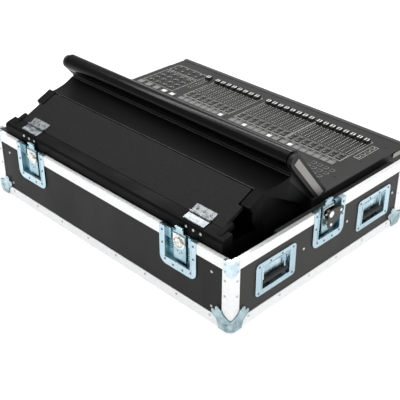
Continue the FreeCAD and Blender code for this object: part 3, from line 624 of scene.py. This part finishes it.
def strip_windows():
    """Dark outline round each display strip, and a bright window in some of them."""
    low, high = corners("scribble_strips")
    lit, frames = Build(), Build()
    for number, bank in enumerate(BANKS):
        for i, x in enumerate(bank):
            half = PITCH / 2 - 1.2
            frames.frame(x - half, x + half, low.y + 0.6, high.y - 0.6, high.z - 0.05, high.z + 0.25, 1.4)
            if (number, i) in LIT:
                lit.box(x - 6, x + 6, low.y + 4, high.y - 4, high.z - 0.05, high.z + 0.2)
    for x in LIT_MASTERS:
        lit.box(x - 8, x + 8, low.y + 5, high.y - 5, high.z - 0.05, high.z + 0.2)
    frames.finish("strip_frames", STRIP_EDGE, slot="key_dark")
    return lit.finish("strip_windows", STRIP_LIT, slot="strip_grey")


def panel_screws():
    """Screws along both ends of the panel."""
    heads = Build()
    for x in (-420.0, 436.0):
        for y in (-351.0, -234.0, -116.0):
            heads.dome((x, y, TOP), (0, 0, 1), 3.6, 1.4)
    return heads.finish("panel_screws", SCREW, slot="black_steel")


# ---- faders -----------------------------------------------------------------------------
def fader_rims():
    """Pale rim round each cap's dark hollow."""
    high = corners(FADERS[0])[1].z
    for number, x in enumerate(FADER_X, 1):
        rim = Build()
        rim.frame(x - 6.2, x + 6.2, FADER_Y - 9.4, FADER_Y + 9.4, high - 3.0, high - 0.1, 2.7)
        body = "fader_cap_%02d" % number
        rim.finish("fader_rim_%02d" % number, CAP_RIM, body, "cap_white", bevel=0.4)


# ---- latches -----------------------------------------------------------------------------
# Places from a wing's axis: along the wall and up.
DISH_RIVETS = ((-55.0, 14.0), (-55.0, -24.0), (55.0, 14.0), (55.0, -24.0),
               (-46.0, -70.0), (46.0, -70.0), (-17.0, -76.0), (17.0, -76.0))
HOOK_RIVETS = ((-7.0, -31.0), (7.0, -31.0), (0.0, -37.0))
LIP_BARS = ((-48.0, -45.4, -61.0, 28.0), (45.4, 48.0, -61.0, 28.0), (-48.0, 48.0, -64.5, -61.9))
LOBES = ((0.0, 0.0), (-42.0, -4.0), (-2.0, -33.0))     # centre and lobes of an end latch's black plate
LOBE_R = 12.5
SPRING_X = 33.0
RIVET_R = 3.4


def latch_details(number):
    """Rivets, rolled lip and springs of a latch dish."""
    place = wall_place(JOINTS["wing_%d_turn" % number], WING_DEPTH)
    rivets = Build(place)
    for u, z in DISH_RIVETS:
        rivets.dome((u, 1.5, z), (0, 1, 0), RIVET_R, 1.5)
    for u, z in HOOK_RIVETS:
        rivets.dome((u, -6.5, z), (0, 1, 0), 2.2, 1.0)
    rivets.finish("latch_rivets_%d" % number, RIVET_DARK, slot="zinc_steel")

    lip = Build(place @ UPRIGHT)
    for bar in LIP_BARS:
        lip.box(*bar, 1.4, 3.0)
    lip.finish("latch_lip_%d" % number, ZINC, slot="zinc_steel", bevel=0.7)

    springs = Build(place)
    for side in (-1, 1):
        coil = []
        for k in range(73):
            a = 2 * math.pi * k / 12
            coil.append((side * SPRING_X + 3.2 * math.cos(a), -8.6 + 3.2 * math.sin(a), -40.0 + 0.55 * k))
        springs.rod(coil, 0.7, 6)
    springs.finish("latch_springs_%d" % number, ZINC, slot="zinc_steel")


def wing_details(number):
    """Raised trim and centre of a latch wing; an end latch's plate also has its round heads."""
    place = wall_place(JOINTS["wing_%d_turn" % number], WING_DEPTH)
    body = "wing_%d" % number
    trim = Build(place)
    loops = []
    for k in range(25):
        a = math.radians(180 + 7.5 * k)
        c, s = math.cos(a), math.sin(a)
        loops.append([(r * c, w, r * s) for r, w in ((17.6, -4.3), (17.6, -2.6), (20.4, -2.6), (20.4, -4.3))])
    trim.loft(loops)
    trim.box(-20.4, 20.4, -4.3, -2.6, 16.2, 18.6)
    trim.turned((0, -1.0, 0), (0, 1, 0), [(8.6, -1), (8.6, 0.6), (6.4, 1.5), (6.0, 0.7), (0.3, 0.7)], 24)
    trim.finish("wing_trim_%d" % number, CAP_HEAD, body, "zinc_steel", bevel=0.3)
    if on_end_wall(number):
        heads = Build(place)
        for u, z in LOBES[1:]:
            heads.dome((u, 5.5, z), (0, 1, 0), 4.6, 2.2, 20)
        hub = [(9.4, -2.9), (9.4, 1.5), (7.6, 2.4), (7.0, 1.5), (0.3, 1.5)]
        heads.turned((0, 5.5, 0), (0, 1, 0), hub, 24)
        heads.finish("wing_heads_%d" % number, CAP_HEAD, body, "zinc_steel")


def rounded_chain(centres, radius, steps=10):
    """Outline round a set of equal circles, anticlockwise centres."""
    outline = []
    count = len(centres)
    for i in range(count):
        before, here, after = centres[i - 1], centres[i], centres[(i + 1) % count]
        start = math.atan2(here[1] - before[1], here[0] - before[0]) - math.pi / 2
        end = math.atan2(after[1] - here[1], after[0] - here[0]) - math.pi / 2
        while end < start:
            end += 2 * math.pi
        for k in range(steps + 1):
            a = start + (end - start) * k / steps
            outline.append((here[0] + radius * math.cos(a), here[1] + radius * math.sin(a)))
    return outline


def padlock_plate(number):
    """Black two-lobed plate over the turning wing of an end latch."""
    body = "wing_%d" % number
    place = wall_place(JOINTS["wing_%d_turn" % number], WING_DEPTH)
    plate = Build(place @ UPRIGHT)
    plate.slab(rounded_chain(LOBES, LOBE_R), 2.4, 5.6)
    piece = plate.finish("padlock_plate_%d" % number, DARK_PLATE, body, "grip_black", bevel=0.8)
    boss = Build(place)
    profile = [(21, -6.2), (21, -4.2), (11, -4.2), (11, -0.4), (9, -0.4), (9, 3.0), (0.3, 3.0)]
    boss.turned((0, 0, 0), (0, 1, 0), profile, 32)
    boss.finish("wing_boss_%d" % number, CHROME, body, "zinc_steel")
    crown = Build(place)
    crown.box(-21, 21, -6.2, -4.2, 0, 19)
    crown.finish("wing_crown_%d" % number, CHROME, body, "zinc_steel", bevel=0.4)
    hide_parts("latch_wing_%d" % number)


# ---- handles --------------------------------------------------------------------------------
GRIP_DROP = 43.0        # grip's middle, below the pivot
ARM_X = 41.0            # arms, either side of the handle's middle
GRIP_RING = 4.0         # from one ring of the grip to the next


def grip_profile():
    """Radii along the ringed grip."""
    profile = [(4.0, -47.0), (6.0, -46.2)]
    for i in range(23):
        u = -44.0 + GRIP_RING * i
        profile += [(6.5, u - 1.3), (6.5, u + 0.7), (5.9, u + 1.2)]
    return profile + [(6.0, 46.2), (4.0, 47.0)]


def drop_handle(number):
    """Ringed grip on two arms and a pivot bar, which swing together."""
    place = wall_place(JOINTS["handle_%d_swing" % number], PIVOT_DEPTH)
    body = "grip_%d" % number
    grip = Build(place)
    grip.turned((0, -7.5, -GRIP_DROP), (1, 0, 0), grip_profile(), 20)
    piece = grip.finish("handle_grip_%d" % number, RUBBER, body, "grip_black", sharp=60)
    arms = Build(place)
    for u in (-ARM_X, ARM_X):
        arms.box(u - 2.3, u + 2.3, -12.8, -5.2, -GRIP_DROP, 0.0)
        arms.turned((u - 2.3, -PIVOT_DEPTH, 0), (1, 0, 0), [(3.9, 0), (3.9, 4.6)], 20)
    arms.turned((-51.7, -PIVOT_DEPTH, 0), (1, 0, 0), [(2.5, 0), (2.5, 103.4)], 16)
    arms.finish("handle_arms_%d" % number, ZINC, body, "zinc_steel", bevel=0.4)
    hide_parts("handle_%d" % number)


def handle_details(number):
    """Springs on the pivot bar, rivets and rolled lip of a handle dish."""
    place = wall_place(JOINTS["handle_%d_swing" % number], PIVOT_DEPTH)
    springs = Build(place)
    for side in (-1, 1):
        coil = []
        for k in range(85):
            a = 2 * math.pi * k / 14
            coil.append((side * (10.0 + 0.3 * k), -PIVOT_DEPTH + 3.6 * math.cos(a), 3.6 * math.sin(a)))
        springs.rod(coil, 0.8, 6)
    springs.finish("handle_springs_%d" % number, ZINC, slot="zinc_steel")

    rivets = Build(place)
    for side in (-1, 1):
        for z in (15.5, -63.5):
            rivets.dome((side * 64.0, 1.5, z), (0, 1, 0), RIVET_R, 1.5)
        rivets.dome((side * 22.0, 1.5, 16.5), (0, 1, 0), 3.0, 1.3)
    rivets.finish("handle_rivets_%d" % number, RIVET_DARK, slot="zinc_steel")

    lip = Build(place @ UPRIGHT)
    lip.frame(-54.6, 54.6, -58.6, 10.6, 1.4, 3.0, 2.4)
    lip.finish("handle_lip_%d" % number, ZINC, slot="zinc_steel", bevel=0.7)


# ---- rail and cowl ---------------------------------------------------------------------------
LEAF_HALF = 35.5        # half of a hinge leaf's length
RAIL_RIVET_Z = 230.0
RAIL_RIVET_GAP = 25.0
RAIL_RIVET_SHIFT = -10.0
LIP_Y = 97.4            # front of the cowl's lip, under the tube
REAR_DROP = 16.4        # cowl's rear edge, below its lip


def rail_rivets():
    """Three rivets in the rail's face below each hinge, a little to one side of it."""
    face = corners("doghouse_frame")[1].y
    middle = corners("rail_hinge_leaves")[1].x - LEAF_HALF
    rivets = Build()
    for side in (-1, 1):
        for i in (-1, 0, 1):
            x = side * middle + RAIL_RIVET_SHIFT + RAIL_RIVET_GAP * i
            rivets.dome((x, face, RAIL_RIVET_Z), (0, 1, 0), 4.0, 1.6)
    return rivets.finish("rail_rivets", RIVET, slot="zinc_steel")


def cowl_lines():
    """Painted highlight line along the cowl's lip and along its rear edge."""
    low, high = corners("rear_cowl")
    lines = Build()
    for inset, y, z, radius in ((2, LIP_Y, high.z + 0.1, 0.7), (18, high.y - 0.6, high.z - REAR_DROP, 0.5)):
        lines.rod([(low.x + inset, y, z), (high.x - inset, y, z)], radius, 8)
    return lines.finish("cowl_lines", EDGE_HIGHLIGHT, slot="satin_black")


# ---- stage, lights, camera -------------------------------------------------------------------
def white(name, albedo, glow):
    """Evenly lit white ground."""
    grey = (albedo, albedo, albedo)
    return Finish(name, grey, 0.9, Emission_Color=(1, 1, 1, 1), Emission_Strength=glow).mat


def stage():
    """White floor that keeps the object's soft shadow."""
    data = bpy.data.meshes.new("floor")
    size = 12.0
    square = [(-size, -size, 0), (size, -size, 0), (size, size, 0), (-size, size, 0)]
    data.from_pydata(square, [], [(0, 1, 2, 3)])
    floor = bpy.data.objects.new("floor", data)
    bpy.context.scene.collection.objects.link(floor)
    data.materials.append(white("floor_white", 0.72, 0.42))


def softbox(name, where, aim, size, power):
    """Rectangular area light; places and sizes in metres."""
    light = bpy.data.lights.new(name, "AREA")
    light.shape = "RECTANGLE"
    light.size, light.size_y = size
    light.energy = power
    lamp = bpy.data.objects.new(name, light)
    lamp.location = where
    lamp.rotation_euler = (Vector(aim) - Vector(where)).to_track_quat("-Z", "Y").to_euler()
    bpy.context.scene.collection.objects.link(lamp)


WORLD_LIGHT = 0.62      # world's strength as a light; the camera sees it at 1


def lights():
    """White surroundings, a broad top light, a strip that draws the tube's highlight, and a side light."""
    world = bpy.data.worlds.new("studio")
    bpy.context.scene.world = world
    world.use_nodes = True
    tree = world.node_tree
    back = tree.nodes["Background"]
    ray = tree.nodes.new("ShaderNodeLightPath")
    level = tree.nodes.new("ShaderNodeMapRange")
    tree.links.new(ray.outputs["Is Camera Ray"], level.inputs["Value"])
    level.inputs["To Min"].default_value = WORLD_LIGHT
    level.inputs["To Max"].default_value = 1.0
    tree.links.new(level.outputs["Result"], back.inputs["Strength"])
    back.inputs["Color"].default_value = (1, 1, 1, 1)
    # name, place, aim, size, watts
    softbox("overhead", (0.2, 0.3, 2.8), (0, 0, 0.2), (3.0, 2.4), 42)
    softbox("tube_line", (1.5, -0.38, 2.25), (0, 0.095, 0.362), (3.0, 0.25), 32)
    softbox("left_side", (-3.0, -0.4, 1.6), (0, 0, 0.15), (2.0, 1.6), 26)


EYE = (-1.5616, 1.5316, 1.3556)
VIEW = (225.1, 31.5)    # azimuth from the front and elevation, in degrees


def camera():
    """High view of the rear and of the operator's left end."""
    azimuth, elevation = (math.radians(angle) for angle in VIEW)
    back = Vector((math.sin(azimuth) * math.cos(elevation), -math.cos(azimuth) * math.cos(elevation),
                   math.sin(elevation)))
    data = bpy.data.cameras.new("camera")
    data.sensor_width = 36.0
    data.lens = 76.17
    data.clip_end = 60.0
    eye = bpy.data.objects.new("camera", data)
    eye.location = EYE
    eye.rotation_euler = (-back).to_track_quat("-Z", "Y").to_euler()
    bpy.context.scene.collection.objects.link(eye)
    bpy.context.scene.camera = eye
    bpy.context.scene.view_settings.view_transform = "Standard"


def main():
    """Finish the CAD nodes, add the pieces, then light and frame them."""
    dress_cad()
    panel_print()
    half_rounds()
    bridge_foot_controls()
    key_tops()
    strip_windows()
    panel_screws()
    fader_rims()
    for number in range(1, 7):
        latch_details(number)
        if on_end_wall(number):
            padlock_plate(number)
        wing_details(number)
    for number in range(1, 5):
        drop_handle(number)
        handle_details(number)
    rail_rivets()
    cowl_lines()
    stage()
    lights()
    camera()


main()
